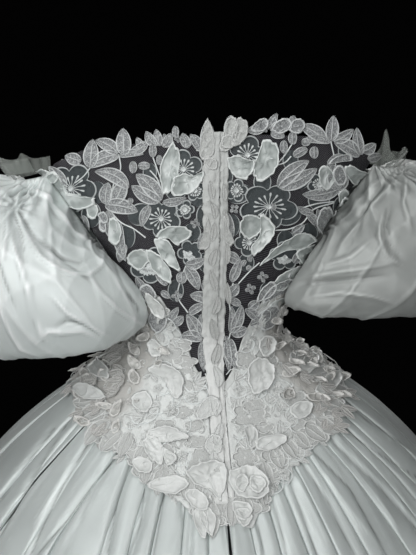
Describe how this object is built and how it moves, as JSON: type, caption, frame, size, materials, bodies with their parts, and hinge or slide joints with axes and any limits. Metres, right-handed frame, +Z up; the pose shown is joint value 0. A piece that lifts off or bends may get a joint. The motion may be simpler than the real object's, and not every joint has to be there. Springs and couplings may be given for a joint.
{
  "type": "wedding dress",
  "caption": "Off-the-shoulder ball gown with a lace-on-net back, lace-covered bodice with a pointed waist, balloon sleeves and a full pleated skirt.",
  "frame": {"origin": "middle of the waist, where the wearer's waist holds the gown up", "axes": "+Z up, +Y the way the wearer faces, so the fastened back faces -Y; +X to the right of someone looking at the back"},
  "size_m": [1.5598, 1.5597, 1.4009],
  "materials": {
    "net": "sheer illusion net",
    "satin": "lined ivory satin",
    "taffeta": "crisp white taffeta",
    "lace": "corded embroidered lace",
    "petal": "satin and organza petals",
    "placket": "lace over crepe"
  },
  "bodies": {
    "root": {"bodice_back_left": "satin", "bodice_side_front_left": "satin", "net_back_left": "net", "placket_left": "placket", "lace_bodice_left": "lace", "lace_neck_left": "lace", "skirt_back_left": "taffeta", "skirt_side_left": "taffeta", "sleeve_left": "taffeta", "sleeve_band_left": "satin", "sleeve_frill_left": "taffeta", "bodice_back_right": "satin", "bodice_side_front_right": "satin", "net_back_right": "net", "placket_right": "placket", "lace_bodice_right": "lace", "lace_neck_right": "lace", "skirt_back_right": "taffeta", "skirt_side_right": "taffeta", "sleeve_right": "taffeta", "sleeve_band_right": "satin", "sleeve_frill_right": "taffeta", "bodice_front": "satin", "lace_waist_front": "lace", "lace_neck_front": "lace", "skirt_front": "taffeta", "flower_shoulder_left": "petal", "flower_upper_left": "petal", "flower_lower_left": "petal", "flower_bud_left": "petal", "flower_upper_right": "petal", "flower_middle_right": "petal", "flower_lower_right": "petal", "flower_shoulder_right": "petal", "flower_waist_right": "petal"}
  },
  "joints": []
}
